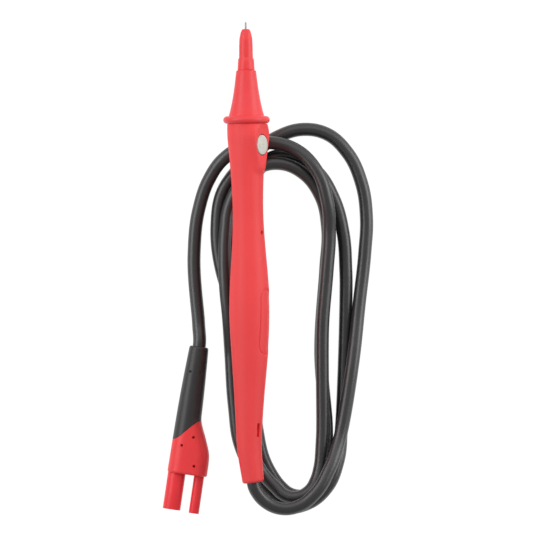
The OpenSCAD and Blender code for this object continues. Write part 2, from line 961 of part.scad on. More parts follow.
module main_pin() {
    r = main_pin_d / 2;
    front = -main_sleeve_len + pin_setback;
    color("gold")
    at_plug() difference() {
        turned(concat(
            [[0, front]],
            [for (a = [70:-17.5:0]) [r * cos(a), front + r * (1 - sin(a))]],
            [
                [r, -collar_end - cage_len],
                [main_core_d / 2, -collar_end - cage_len],
                [main_core_d / 2, -collar_end],
                [r, -collar_end],
                [r, carrier_front],
                [main_seat_d / 2, carrier_front],
                [main_seat_d / 2, carrier_back + main_cup_len],
                [0, carrier_back + main_cup_len]
            ]
        ));
        along_prong(0, carrier_back + cup_floor / 2, carrier_back + main_cup_len + cut, main_cup_bore_d);
    }
}

module main_spring_cage() {
    back = -collar_end;
    front = back - cage_len;
    color("goldenrod")
    at_plug() difference() {
        along_prong(0, front, back, main_pin_d);
        along_prong(0, front - cut, back + cut, main_core_d);
        along_prong(0, front + cage_band, back - cage_band, main_pin_d - 2 * cage_wall);
        for (i = [0:cage_slots - 1]) rotate([0, 360 * i / cage_slots, 0])
            translate([0, front + cage_slot_at, -cage_slot_w / 2])
            cube([main_pin_d, cage_len - 2 * cage_slot_at, cage_slot_w]);
    }
}

module small_pin() {
    r = small_pin_d / 2;
    front = -small_sleeve_len + pin_setback;
    color("gold")
    at_plug() translate([prong_pitch, 0, 0]) turned(concat(
        [[0, front]],
        [for (a = [70:-17.5:0]) [r * cos(a), front + r * (1 - sin(a))]],
        [
            [r, carrier_front],
            [small_seat_d / 2, carrier_front],
            [small_seat_d / 2, carrier_back + small_cup_len],
            [0, carrier_back + small_cup_len]
        ]
    ));
}

module plug_main_conductor() {
    color("darkred")
    at_plug() tube([
        [0, carrier_back + main_cup_len, 0],
        [0, carrier_back + main_cup_len + lead_straight, 0],
        [relief_u - plug_lead_side, channel_back + 1, 0],
        [relief_u - plug_lead_side, jacket_stop, 0]
    ], plug_lead_d / 2, lead_sides);
}

module plug_signal_conductors() {
    small_cup_end = carrier_back + small_cup_len;
    color("goldenrod")
    at_plug() for (s = [-1, 1]) tube([
        [prong_pitch, small_cup_end, s * plug_signal_side],
        [prong_pitch, small_cup_end + lead_straight, s * plug_signal_side],
        [prong_pitch - lead_straight, small_cup_end + 2 * lead_straight, s * plug_signal_side],
        [channel_side - lead_straight, chamber_back - plug_signal_d / 2 - slide_gap, s * plug_signal_side],
        [relief_u + signal_bend_u, (chamber_back + channel_back) / 2, s * plug_signal_side],
        [relief_u + plug_lead_side, channel_back + 1, s * plug_signal_side],
        [relief_u + plug_lead_side, jacket_stop, s * plug_signal_side]
    ], plug_signal_d / 2, lead_sides);
}

// Each node draws itself when it is asked for
needle();
needle_nib();
nose_cone();
handle_skin();
core_button_half();
core_back_half();
switch_board();
switch_body();
switch_cover();
switch_plunger();
test_button();
needle_conductor();
switch_conductors();
cable_ferrule();
cable();
strain_relief();
plug_body();
contact_carrier();
main_sleeve();
main_pin();
main_spring_cage();
small_sleeve();
small_pin();
plug_main_conductor();
plug_signal_conductors();
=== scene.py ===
import math

import bmesh
import bpy
from mathutils import Matrix, Vector


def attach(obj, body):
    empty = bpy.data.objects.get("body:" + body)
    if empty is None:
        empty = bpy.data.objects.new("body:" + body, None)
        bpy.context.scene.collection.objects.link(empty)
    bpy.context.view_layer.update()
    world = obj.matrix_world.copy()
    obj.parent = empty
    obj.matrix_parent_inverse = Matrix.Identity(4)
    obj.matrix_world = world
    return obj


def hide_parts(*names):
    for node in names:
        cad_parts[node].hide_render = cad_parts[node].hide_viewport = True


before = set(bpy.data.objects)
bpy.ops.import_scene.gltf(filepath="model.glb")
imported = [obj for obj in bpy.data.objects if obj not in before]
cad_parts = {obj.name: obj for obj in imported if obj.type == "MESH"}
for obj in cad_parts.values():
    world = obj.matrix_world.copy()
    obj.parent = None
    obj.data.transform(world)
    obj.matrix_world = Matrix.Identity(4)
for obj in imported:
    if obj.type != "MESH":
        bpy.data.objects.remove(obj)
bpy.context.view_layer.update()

MM = 0.001
scene = bpy.context.scene


# Camera. The photograph looks straight down on a probe that lies on a bench,
# from far enough away that the perspective hardly shows. The view is turned by
# half a degree, because the probe leans by that much in the picture.
PHOTO_SIDE = 533
PIXEL = 0.45 * MM
VIEW_HEIGHT = 3.0
VIEW_CENTRE = (8.45 * MM, -106.9 * MM)
VIEW_TURN = -0.0083

camera = bpy.data.objects.new("camera", bpy.data.cameras.new("camera"))
camera.data.lens = camera.data.sensor_width * VIEW_HEIGHT / (PHOTO_SIDE * PIXEL)
camera.location = (*VIEW_CENTRE, VIEW_HEIGHT)
camera.rotation_euler = (0, 0, VIEW_TURN)
scene.collection.objects.link(camera)
scene.camera = camera
scene.view_settings.view_transform = "Standard"


# Bench and light. The bench is a white paper sheet. A soft box stands low on
# each side and a wide one beyond the needle. Sheet and room glow white where
# the camera sees them, and the sheet does so in reflections as well.
BENCH = -21.6 * MM
SHEET_HALF = 2.0
SHEET_GAP = 0.02 * MM
SHEET_GLOW = 1.06
GLOW_SHARE = 0.93
ROOM_LIGHT = 0.36
WHITE = (1, 1, 1, 1)
PAPER_WHITE = (0.9, 0.9, 0.9, 1)


class Value:
    """One socket of a material's nodes; Python's operators on it add Math nodes."""

    def __init__(self, tree, socket=None):
        self.tree = tree
        self.socket = socket

    def node(self, kind, settings=(), sockets=(), out=0):
        made = self.tree.nodes.new(kind)
        for name, setting in dict(settings).items():
            setattr(made, name, setting)
        for name, given in dict(sockets).items():
            if isinstance(given, Value):
                self.tree.links.new(given.socket, made.inputs[name])
            else:
                made.inputs[name].default_value = given
        return Value(self.tree, made.outputs[out])

    def maths(self, operation, *terms):
        return self.node("ShaderNodeMath", {"operation": operation}, dict(enumerate(terms)))

    def __add__(self, other):
        return self.maths("ADD", self, other)

    def __mul__(self, other):
        return self.maths("MULTIPLY", self, other)

    __radd__ = __add__
    __rmul__ = __mul__


def seen_by(nodes, *rays):
    """1 for a ray of either kind and 0 for any other."""
    paths = nodes.node("ShaderNodeLightPath").socket.node.outputs
    return nodes.maths("MAXIMUM", *[Value(nodes.tree, paths[ray]) for ray in rays])


def soft_box(name, place, target, size, watts):
    """A lamp that shines from a rectangle and isn't seen itself."""
    lamp = bpy.data.objects.new(name, bpy.data.lights.new(name, "AREA"))
    lamp.data.shape = "RECTANGLE"
    lamp.data.size, lamp.data.size_y = size
    lamp.data.energy = watts
    lamp.location = place
    lamp.rotation_euler = (Vector(target) - Vector(place)).to_track_quat("-Z", "Y").to_euler()
    lamp.visible_camera = False
    scene.collection.objects.link(lamp)


soft_box("left_box", (-0.50, 0.07, 0.36), (0, 0.02, 0), (0.70, 0.36), 2.1)
soft_box("right_box", (0.58, 0.10, 0.24), (0, 0.04, 0), (0.58, 0.40), 2.3)
soft_box("top_box", (0.0, 0.80, 0.75), (*VIEW_CENTRE, 0), (2.0, 1.2), 6.0)

world = bpy.data.worlds.new("room")
world.use_nodes = True
scene.world = world
room = Value(world.node_tree)
dim = room.node("ShaderNodeBackground", {}, {"Color": WHITE, "Strength": ROOM_LIGHT})
bright = room.node("ShaderNodeBackground", {}, {"Color": WHITE, "Strength": 1.0})
bright_where = seen_by(room, "Is Camera Ray", "Is Transmission Ray")
both = room.node("ShaderNodeMixShader", {}, {0: bright_where, 1: dim, 2: bright})
world.node_tree.links.new(both.socket, world.node_tree.nodes["World Output"].inputs["Surface"])

sheet = bmesh.new()
bmesh.ops.create_grid(sheet, x_segments=1, y_segments=1, size=SHEET_HALF)
bmesh.ops.translate(sheet, verts=sheet.verts, vec=(0, 0, BENCH - SHEET_GAP))
sheet_mesh = bpy.data.meshes.new("bench_sheet")
sheet.to_mesh(sheet_mesh)
sheet.free()
floor = bpy.data.objects.new("bench_sheet", sheet_mesh)
scene.collection.objects.link(floor)

paper = bpy.data.materials.new("white_sheet")
paper.use_nodes = True
paper_nodes = Value(paper.node_tree)
matte = paper_nodes.node("ShaderNodeBsdfDiffuse", {}, {"Color": PAPER_WHITE})
glow = paper_nodes.node("ShaderNodeEmission", {}, {"Color": WHITE, "Strength": SHEET_GLOW})
glow_where = seen_by(paper_nodes, "Is Camera Ray", "Is Glossy Ray") * GLOW_SHARE
mixed = paper_nodes.node("ShaderNodeMixShader", {}, {0: glow_where, 1: matte, 2: glow})
paper.node_tree.links.new(
    mixed.socket, paper.node_tree.nodes["Material Output"].inputs["Surface"]
)
sheet_mesh.materials.append(paper)


# Needle. One turned steel pin: a bare tip, a stem that the nib is moulded
# round, and a cup at its back end that the conductor is soldered into.
NEEDLE_TIP = 3.3
TAPER_FROM = 2.7
NEEDLE_R = 0.43
SHOULDER_AT = 0.37
STEM_R = 0.8
CUP_R = 1.2
CUP_FRONT = 29.6
CUP_BACK = 35.2
CUP_DEEP = 4.1
EDGE_TO_ROUND = math.radians(30)
EDGE_TO_SHOW = math.radians(35)


def spun(outline, steps=96, closed=False):
    """A shape turned about the Y axis from an outline of (radius, y) in millimetres."""
    shape = bmesh.new()
    verts = [shape.verts.new((r * MM, y * MM, 0)) for r, y in outline]
    ends = verts[1:] + verts[:1] if closed else verts[1:]
    edges = [shape.edges.new(pair) for pair in zip(verts, ends)]
    bmesh.ops.spin(
        shape, geom=verts + edges, cent=(0, 0, 0), axis=(0, 1, 0),
        angle=math.tau, steps=steps, use_merge=True,
    )
    bmesh.ops.remove_doubles(shape, verts=shape.verts, dist=0.0005 * MM)
    bmesh.ops.recalc_face_normals(shape, faces=shape.faces)
    return shape


def rounded(shape, width, segments=3):
    """Round the sharp edges."""
    sharp = [e for e in shape.edges if e.is_manifold and e.calc_face_angle() > EDGE_TO_ROUND]
    bmesh.ops.bevel(
        shape, geom=sharp, offset=width * MM, offset_type="OFFSET", affect="EDGES",
        segments=segments, profile=0.5, clamp_overlap=True, material=-1,
    )


def piece(name, shape, material, slot, *nodes, body="probe"):
    """An object from a shape, smooth apart from its sharp edges, in place of CAD nodes."""
    for face in shape.faces:
        face.smooth = True
    for edge in shape.edges:
        edge.smooth = not edge.is_manifold or edge.calc_face_angle() < EDGE_TO_SHOW
    mesh = bpy.data.meshes.new(name)
    shape.to_mesh(mesh)
    shape.free()
    mesh.materials.append(material)
    made = bpy.data.objects.new(name, mesh)
    scene.collection.objects.link(made)
    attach(made, body)
    if nodes:
        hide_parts(*nodes)
    return made


def new_material(name, **fixed):
    """A material, its nodes, and its shader with the sockets that stay the same all over."""
    made = bpy.data.materials.new(name)
    made.use_nodes = True
    shader = made.node_tree.nodes["Principled BSDF"]
    for socket, given in fixed.items():
        shader.inputs[socket.replace("_", " ")].default_value = given
    return made, Value(made.node_tree), shader


def feed(shader, socket, value):
    """Link a value that changes over the surface to a socket of the shader."""
    value.tree.links.new(value.socket, shader.inputs[socket])


def noise(value, size, detail=2.0, stretch=(1, 1, 1)):
    """Noise with grains about size metres across, longer where stretch is below 1."""
    place = value.node("ShaderNodeTexCoord", out=3)
    drawn = value.node("ShaderNodeMapping", {}, {"Vector": place, "Scale": stretch})
    return value.node(
        "ShaderNodeTexNoise", {}, {"Vector": drawn, "Scale": 1.0 / size, "Detail": detail}
    )


def ramp(value, mask, low, high):
    """0 where the mask is below low, 1 above high and even between them."""
    return value.node(
        "ShaderNodeMapRange", {"clamp": True}, {0: mask, 1: low, 2: high, 3: 0.0, 4: 1.0}
    )


def tint(value, mask, dark, light):
    """Colour from dark to light by a mask between 0 and 1."""
    return value.node(
        "ShaderNodeMix",
        {"data_type": "RGBA"},
        {0: mask, 6: (*dark, 1.0), 7: (*light, 1.0)},
        2,
    )


def bump(value, height, depth):
    """A normal that follows a height as if it were so many metres deep."""
    return value.node("ShaderNodeBump", {}, {"Height": height, "Distance": depth})


def metal(name, dark, light, rough, lines):
    """Turned or drawn metal with fine lines round the piece and duller patches."""
    made, nodes, shader = new_material(name, Metallic=1.0)
    turning = noise(nodes, 0.05 * MM, 2.0, lines)
    dull = ramp(nodes, noise(nodes, 3 * MM, 3.0), 0.35, 0.7)
    feed(shader, "Base Color", tint(nodes, dull * 0.6 + turning * 0.4, dark, light))
    feed(shader, "Roughness", dull * 0.12 + turning * 0.08 + rough)
    feed(shader, "Normal", bump(nodes, turning, 0.004 * MM))
    return made


needle_outline = [
    (0, NEEDLE_TIP), (0.07, NEEDLE_TIP - 0.01), (0.13, NEEDLE_TIP - 0.06),
    (0.17, NEEDLE_TIP - 0.15), (NEEDLE_R, TAPER_FROM), (NEEDLE_R, 0),
    (STEM_R, -SHOULDER_AT), (STEM_R, -CUP_FRONT), (CUP_R, -CUP_FRONT), (CUP_R, -CUP_BACK),
    (STEM_R, -CUP_BACK), (STEM_R, CUP_DEEP - CUP_BACK), (0, CUP_DEEP - CUP_BACK),
]
needle_shape = spun(needle_outline, 64)
rounded(needle_shape, 0.08)
turned_steel = metal("turned_steel", (0.26, 0.25, 0.25), (0.38, 0.37, 0.37), 0.24, (0.02, 1, 0.02))
piece("needle_pin", needle_shape, turned_steel, "needle_steel", "needle")


# Nib. Hard red insulation moulded round the needle: a round front, a slim
# barrel, one step up to a collar, and a shank that is pressed into the nose.
BORE_GAP = 0.02
NIB_STATIONS = [
    (0.7, 1.95, 0.55), (3.3, 2.7, 0.22), (4.6, 2.93, 0.06), (12.9, 3.13, 0.02),
]
COLLAR_STATIONS = [(13.6, 3.55, 0.06), (18.3, 3.84, 0.05)]
COLLAR_END = 18.6
COLLAR_END_R = 3.72
SHANK_R = 3.2
SHANK_END = 29.0


def blend(a, b, d):
    """Radius between two stations (distance, radius, slope) on a smooth cubic."""
    run = b[0] - a[0]
    t = (d - a[0]) / run
    return (
        a[1] * (2 * t**3 - 3 * t**2 + 1) + a[2] * run * (t**3 - 2 * t**2 + t)
        + b[1] * (3 * t**2 - 2 * t**3) + b[2] * run * (t**3 - t**2)
    )


def radius_at(stations, d):
    """Radius at a distance, from stations of (distance, radius, slope)."""
    for a, b in zip(stations, stations[1:]):
        if d <= b[0]:
            break
    return blend(a, b, d)


def spaced(start, end, step):
    """Even distances from start up to, but not at, the end."""
    count = math.ceil((end - start) / step)
    return [start + (end - start) * i / count for i in range(count)]


def profile(stations, step):
    """Outline points that follow the stations."""
    first, last = stations[0][0], stations[-1][0]
    return [(radius_at(stations, d), -d) for d in [*spaced(first, last, step), last]]


def moulded(name, dark, light, rough, grain, depth, **fixed):
    """Satin moulded plastic or rubber: cloudy colour, fine grain and faint rubbed streaks."""
    made, nodes, shader = new_material(name, **fixed)
    cloud = noise(nodes, 9 * MM, 4.0)
    texture = noise(nodes, grain, 2.0)
    rubbed = ramp(nodes, noise(nodes, 1.4 * MM, 5.0, (1, 0.08, 1)), 0.52, 0.78)
    feed(shader, "Base Color", tint(nodes, cloud * 0.75 + texture * 0.25, dark, light))
    feed(shader, "Roughness", cloud * 0.07 + texture * 0.05 + rubbed * 0.06 + rough)
    feed(shader, "Normal", bump(nodes, texture, depth))
    return made


nib_outline = [
    (NEEDLE_R + BORE_GAP, 0), (1.2, 0), (1.55, -0.09), (1.8, -0.34),
    *profile(NIB_STATIONS, 0.5), *profile(COLLAR_STATIONS, 1.2),
    (COLLAR_END_R, -COLLAR_END), (SHANK_R, -COLLAR_END), (SHANK_R, -SHANK_END),
    (STEM_R + BORE_GAP, -SHANK_END), (STEM_R + BORE_GAP, -SHOULDER_AT - 0.03),
]
nib_shape = spun(nib_outline, 128, closed=True)
rounded(nib_shape, 0.12)
nib_red = moulded(
    "nib_red", (0.80, 0.040, 0.044), (0.88, 0.056, 0.060), 0.32, 0.30 * MM, 0.006 * MM,
    Specular_IOR_Level=0.42,
)
piece("nib", nib_shape, nib_red, "nib_plastic", "needle_nib")


# Nose and finger guard. One hard red moulding: a cone that flares into a
# round-rimmed guard, and a spigot that plugs into the front of the handle.
NOSE_FRONT_R = 4.15
NOSE_BORE_R = 3.6
GUARD_AT = 39.2
GUARD_R = 10.5
RIM_R = 1.65
NOSE_STATIONS = [(18.9, 4.47, 0.12), (GUARD_AT + 0.2, 8.1, 0.3)]
HANDLE_AT = 42.6
SEAT_R = 8.4
SPIGOT_R = 5.55
SPIGOT_END = 45.4

rim_arc = [
    (GUARD_R - RIM_R + RIM_R * math.cos(a), -GUARD_AT - RIM_R + RIM_R * math.sin(a))
    for a in [math.radians(90 - 7.5 * i) for i in range(25)]
]
nose_outline = [
    (SHANK_R + BORE_GAP, -COLLAR_END), (NOSE_FRONT_R, -COLLAR_END),
    *profile(NOSE_STATIONS, 0.8), *rim_arc,
    (SEAT_R, -HANDLE_AT + 0.1), (SEAT_R, -HANDLE_AT), (SPIGOT_R, -HANDLE_AT),
    (SPIGOT_R, -SPIGOT_END), (NOSE_BORE_R, -SPIGOT_END), (NOSE_BORE_R, -SHANK_END),
    (SHANK_R + BORE_GAP, -SHANK_END),
]
nose_shape = spun(nose_outline, 144, closed=True)
rounded(nose_shape, 0.25)
nose_red = moulded(
    "nose_red", (0.80, 0.042, 0.049), (0.87, 0.058, 0.065), 0.34, 0.28 * MM, 0.008 * MM,
    Specular_IOR_Level=0.42,
)
piece("nose_and_guard", nose_shape, nose_red, "nose_plastic", "nose_cone")


# Core. Two hard red halves under the skin, which hold the board on rails, let
# the button's stem through, and grip the lead behind its crimped ring.
def dress(material, *nodes):
    """Give CAD nodes that keep their own mesh a finished material."""
    for name in nodes:
        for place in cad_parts[name].material_slots:
            place.material = material


core_red = moulded(
    "core_red", (0.30, 0.022, 0.022), (0.38, 0.034, 0.034), 0.42, 0.5 * MM, 0.012 * MM
)
dress(core_red, "core_button_half", "core_back_half")


# Board and switch. A narrow glass-fibre board with green resist carries a
# small push switch: black housing and plunger under a pressed steel cover.
laminate, resist, resist_shader = new_material("green_resist", Coat_Weight=0.3)
weave = noise(resist, 0.5 * MM, 1.0, (1, 0.2, 1)) + noise(resist, 0.5 * MM, 1.0, (0.2, 1, 0.2))
tracks = ramp(resist, noise(resist, 1.6 * MM, 0.0, (1, 0.15, 1)), 0.50, 0.52)
feed(
    resist_shader, "Base Color",
    tint(resist, tracks, (0.012, 0.085, 0.030), (0.030, 0.16, 0.055)),
)
feed(resist_shader, "Roughness", tracks * 0.08 + weave * 0.05 + 0.28)
feed(resist_shader, "Normal", bump(resist, weave * 0.3 + tracks, 0.02 * MM))
dress(laminate, "switch_board")

switch_black = moulded(
    "switch_black", (0.010, 0.010, 0.010), (0.020, 0.020, 0.019), 0.45, 0.2 * MM, 0.008 * MM
)
dress(switch_black, "switch_body", "switch_plunger")
pressed_steel = metal("pressed_steel", (0.42, 0.42, 0.42), (0.58, 0.58, 0.57), 0.30, (0.05, 1, 0.05))
dress(pressed_steel, "switch_cover")


# Conductors. Soft extruded insulation: a thick red one from the needle's cup
# to the lead, thin yellow ones from the board, and the same again in the plug.
def insulation(name, dark, light):
    """Extruded insulation with faint lines along it and dull dust."""
    made, nodes, shader = new_material(name, Coat_Weight=0.1)
    drawn = noise(nodes, 0.25 * MM, 2.0, (1, 0.03, 1))
    dust = ramp(nodes, noise(nodes, 4 * MM, 4.0), 0.4, 0.75)
    feed(shader, "Base Color", tint(nodes, dust * 0.6 + drawn * 0.4, dark, light))
    feed(shader, "Roughness", dust * 0.15 + drawn * 0.06 + 0.36)
    feed(shader, "Normal", bump(nodes, drawn, 0.01 * MM))
    return made


dress(
    insulation("red_insulation", (0.38, 0.014, 0.014), (0.50, 0.026, 0.026)),
    "needle_conductor", "plug_main_conductor",
)
dress(
    insulation("yellow_insulation", (0.58, 0.34, 0.015), (0.74, 0.48, 0.04)),
    "switch_conductors", "plug_signal_conductors",
)
crimped_ring = metal("crimped_ring", (0.46, 0.46, 0.47), (0.66, 0.66, 0.67), 0.28, (0.05, 1, 0.05))
dress(crimped_ring, "cable_ferrule")


# Button. A round cap of pale speckled plastic with a soft edge and a slight
# crown. Its flange below the skin keeps it in, and its stem presses the switch.
BUTTON_AT = 52.2
BUTTON_TURN = math.radians(59)
BUTTON_R = 4.5
BUTTON_FACE = 8.5
BUTTON_CROWN = 0.18
BUTTON_ROUND = 0.55
FLANGE_R = 5.2
FLANGE_TOP = 6.2
FLANGE_BACK = 5.3
PRESS_STEM_R = 1.9
PRESS_STEM_END = 3.95


def facing(at, turn):
    """A frame on the probe's axis whose Y points out of the handle's side."""
    return (
        Matrix.Translation((0, -at * MM, 0))
        @ Matrix.Rotation(turn, 4, "Y")
        @ Matrix.Rotation(math.pi / 2, 4, "X")
    )


button_outline = [
    (0, PRESS_STEM_END), (PRESS_STEM_R, PRESS_STEM_END), (PRESS_STEM_R, FLANGE_BACK),
    (FLANGE_R, FLANGE_BACK), (FLANGE_R, FLANGE_TOP), (BUTTON_R, FLANGE_TOP),
    *[
        (
            BUTTON_R - BUTTON_ROUND * (1 - math.cos(a)),
            BUTTON_FACE - BUTTON_ROUND * (1 - math.sin(a)),
        )
        for a in [math.radians(12 * i) for i in range(8)]
    ],
    *[
        (BUTTON_R * t, BUTTON_FACE + BUTTON_CROWN * (1 - t * t))
        for t in (0.8, 0.6, 0.4, 0.2, 0)
    ],
]
button_shape = spun(button_outline, 96)
rounded(button_shape, 0.1, 2)
bmesh.ops.transform(button_shape, matrix=facing(BUTTON_AT, BUTTON_TURN), verts=button_shape.verts)

cap, pale, pale_shader = new_material("speckled_cap", Specular_IOR_Level=0.4)
speckles = ramp(pale, noise(pale, 0.55 * MM, 3.0), 0.56, 0.66)
shade = noise(pale, 3 * MM, 3.0)
feed(
    pale_shader, "Base Color",
    tint(pale, speckles * 0.55 + shade * 0.3, (0.70, 0.69, 0.62), (0.38, 0.36, 0.30)),
)
feed(pale_shader, "Roughness", shade * 0.10 + speckles * 0.08 + 0.36)
feed(pale_shader, "Normal", bump(pale, noise(pale, 0.3 * MM, 2.0), 0.01 * MM))
piece("button_cap", button_shape, cap, "button_plastic", "test_button", body="button")


# Handle skin. Soft red rubber moulded over the core, with a drop-shaped pod and
# a shallow basin round the button, an oval recess with a groove along its edge,
# a round mark, a slot mark, and a tail that the lead pulls a little aside.
TAIL_AT, TAIL_LEN, TAIL_TURN = 189.0, 15.2, math.radians(6.6)
TAIL_R, TAIL_END_R, TAIL_ROUND = 5.55, 4.9, 1.2
BEND_RUN = 4.0
HANDLE_STATIONS = [
    (HANDLE_AT, 8.75, 0), (50, 8.6, -0.09), (82, 6.9, 0), (126, 9.1, 0), (165, 6.8, -0.07),
    (TAIL_AT, TAIL_R, -0.035),
]
SKIN_WALL = 1.6
CORE_END = 167.4
LEAD_BORE_R = 3.05
POD_FROM, POD_TO = 42.65, 66.5
POD_HEAD_R, POD_TAIL_R, POD_RUN = 6.9, 3.0, 13.1
POD_HEAD_AHEAD = 4.2
POD_FACE, POD_ROUND, POD_BLEND = 8.3, 2.0, 3.0
DISH_FACE, DISH_RISE, DISH_BLEND = 8.25, 0.7, 0.2
RECESS_AT, RECESS_TURN, RECESS_TILT = 131.7, math.radians(66), 0.0027
RECESS_LEN, RECESS_W, RECESS_DEEP, RECESS_EDGE = 29.8, 9.4, 0.4, 0.4
GROOVE_HALF, GROOVE_DEEP = 0.55, 0.32
ROUND_MARK_AT, ROUND_MARK_TURN = 91.6, math.radians(59)
SLOT_AT, SLOT_TURN = 180.4, math.radians(45)
SLOT_W, SLOT_LEN, SLOT_DEEP = 1.5, 6.3, 1.6
BOW, BOW_RISE, BOW_FALL, BOW_END = 0.65, 80, 46, 184.0
CROWDING = 0.4


def drop_distance(across, along):
    """Distance outside the pod's drop outline; along runs from its head's centre to its tail."""
    lean = (POD_HEAD_R - POD_TAIL_R) / POD_RUN
    side = math.sqrt(1 - lean * lean)
    across = abs(across)
    level = along * side - across * lean
    if level < 0:
        return math.hypot(across, along) - POD_HEAD_R
    if level > side * POD_RUN:
        return math.hypot(across, along - POD_RUN) - POD_TAIL_R
    return across * side + along * lean - POD_HEAD_R


def soft_min(a, b, k):
    """The smaller of two distances, blended where they differ by less than k."""
    overlap = max(k - abs(a - b), 0) / k
    return min(a, b) - overlap * overlap * k / 4


def pod_radius(d, turn, skin_r):
    """Radius of the skin where the pod stands out of it, found along a ray from the axis."""
    low, high = 5.0, 10.5
    for _ in range(16):
        r = (low + high) / 2
        outline = drop_distance(r * math.sin(turn), d - BUTTON_AT + POD_HEAD_AHEAD)
        height = r * math.cos(turn)
        beside, above = outline + POD_ROUND, height - POD_FACE + POD_ROUND
        pod = min(max(beside, above), 0) + math.hypot(max(beside, 0), max(above, 0)) - POD_ROUND
        from_button = math.hypot(r * math.sin(turn), d - BUTTON_AT)
        dish_rise = DISH_RISE * (max(from_button - BUTTON_R, 0) / BUTTON_R) ** 2
        dish = DISH_FACE + dish_rise - height
        skin_or_pod = soft_min(r - skin_r, pod, POD_BLEND)
        if -soft_min(-skin_or_pod, dish, DISH_BLEND) > 0:
            high = r
        else:
            low = r
    return (low + high) / 2


def smooth(t):
    """Even rise from 0 to 1, level at both ends."""
    t = min(max(t, 0), 1)
    return t * t * (3 - 2 * t)


def recess_depth(d, turn, skin_r):
    """How deep the oval recess and the groove along its edge are at a place."""
    turn += RECESS_TILT * (d - RECESS_AT)
    beyond = max(abs(d - RECESS_AT) - (RECESS_LEN - RECESS_W) / 2, 0)
    edge = math.hypot(beyond, skin_r * math.sin(turn)) - RECESS_W / 2
    groove = GROOVE_DEEP * smooth(1 - abs(edge) / GROOVE_HALF)
    return RECESS_DEEP * smooth(0.5 - edge / RECESS_EDGE) + groove


def bent(point):
    """Where a point of the straight tail goes when the tail is bent to the side."""
    d = -point.y / MM - TAIL_AT + BEND_RUN
    turn = TAIL_TURN * min(max(d / (2 * BEND_RUN), 0), 1)
    if turn == 0:
        return point
    bend_r = 2 * BEND_RUN / TAIL_TURN
    past = max(d - 2 * BEND_RUN, 0)
    middle = Vector((
        bend_r * (1 - math.cos(turn)) + past * math.sin(turn),
        BEND_RUN - TAIL_AT - bend_r * math.sin(turn) - past * math.cos(turn),
        0,
    )) * MM
    return middle + Vector((point.x * math.cos(turn), point.x * math.sin(turn), point.z))


def skin_rows(start, end, step, inset=0):
    """Rows of the skin, which lie closer together where something is pressed into it."""
    return [(d, radius_at(HANDLE_STATIONS, d) - inset) for d in spaced(start, end, step)]


tail_straight = TAIL_LEN - TAIL_ROUND
outer_rows = [
    (HANDLE_AT, 8.5), (HANDLE_AT + 0.08, 8.68),
    *skin_rows(HANDLE_AT + 0.3, POD_TO, 0.22), *skin_rows(POD_TO, 114, 1.3),
    *skin_rows(114, 149.5, 0.3), *skin_rows(149.5, TAIL_AT, 1.3),
    *[
        (TAIL_AT + s, TAIL_R - (TAIL_R - TAIL_END_R) * s / tail_straight)
        for s in spaced(0, tail_straight, 1.0)
    ],
    *[
        (
            TAIL_AT + tail_straight + TAIL_ROUND * math.sin(a),
            TAIL_END_R - TAIL_ROUND * (1 - math.cos(a)),
        )
        for a in [math.radians(11.25 * i) for i in range(9)]
    ],
]
inner_rows = [
    (TAIL_AT + TAIL_LEN, LEAD_BORE_R + 0.25), (TAIL_AT + TAIL_LEN - 0.25, LEAD_BORE_R),
    *[(TAIL_AT + s, LEAD_BORE_R) for s in (12, 9, 6, 4, 2, 0, -2, -4, -8)],
    (CORE_END, LEAD_BORE_R), (CORE_END, radius_at(HANDLE_STATIONS, CORE_END) - SKIN_WALL),
    *reversed(skin_rows(46, CORE_END, 4, SKIN_WALL)),
    (HANDLE_AT, radius_at(HANDLE_STATIONS, HANDLE_AT) - SKIN_WALL),
]
skin_shape = spun([(r, -d) for d, r in outer_rows + inner_rows], 200, closed=True)
# The skin's columns lie closer together on the button's side.
for vert in skin_shape.verts:
    d, r = -vert.co.y / MM, math.hypot(vert.co.x, vert.co.z) / MM
    turn = math.atan2(vert.co.x, vert.co.z) - BUTTON_TURN
    turn -= CROWDING * math.sin(turn)
    if r > radius_at(HANDLE_STATIONS, min(d, TAIL_AT)) - SKIN_WALL / 2 and d < TAIL_AT:
        if POD_FROM < d < POD_TO and math.cos(turn) > 0.3:
            r = pod_radius(d, turn, r)
        r -= recess_depth(d, turn + BUTTON_TURN - RECESS_TURN, r) if math.cos(turn) > 0 else 0
    turn += BUTTON_TURN
    vert.co = bent(Vector((r * math.sin(turn), -d, r * math.cos(turn))) * MM)


def joined(*shapes):
    """One shape from several that don't touch."""
    whole = shapes[0]
    for shape in shapes[1:]:
        mesh = bpy.data.meshes.new("part")
        shape.to_mesh(mesh)
        shape.free()
        whole.from_mesh(mesh)
        bpy.data.meshes.remove(mesh)
    return whole


def carved(shape, cutters):
    """The shape with the cutters' closed forms taken out of it."""
    pair = []
    for part in (shape, cutters):
        mesh = bpy.data.meshes.new("part")
        bmesh.ops.recalc_face_normals(part, faces=part.faces)
        part.to_mesh(mesh)
        part.free()
        pair.append(bpy.data.objects.new("part", mesh))
        scene.collection.objects.link(pair[-1])
    cut = pair[0].modifiers.new("cut", "BOOLEAN")
    cut.operation = "DIFFERENCE"
    cut.solver = "EXACT"
    cut.object = pair[1]
    bpy.context.view_layer.update()
    result = bmesh.new()
    result.from_object(pair[0], bpy.context.evaluated_depsgraph_get())
    for part in pair:
        mesh = part.data
        bpy.data.objects.remove(part)
        bpy.data.meshes.remove(mesh)
    return result


def hole(matrix, outline, steps=64):
    """A cutter turned about the Y axis of a frame, from (radius, height) outwards."""
    shape = spun(outline, steps)
    bmesh.ops.transform(shape, matrix=matrix, verts=shape.verts)
    return shape


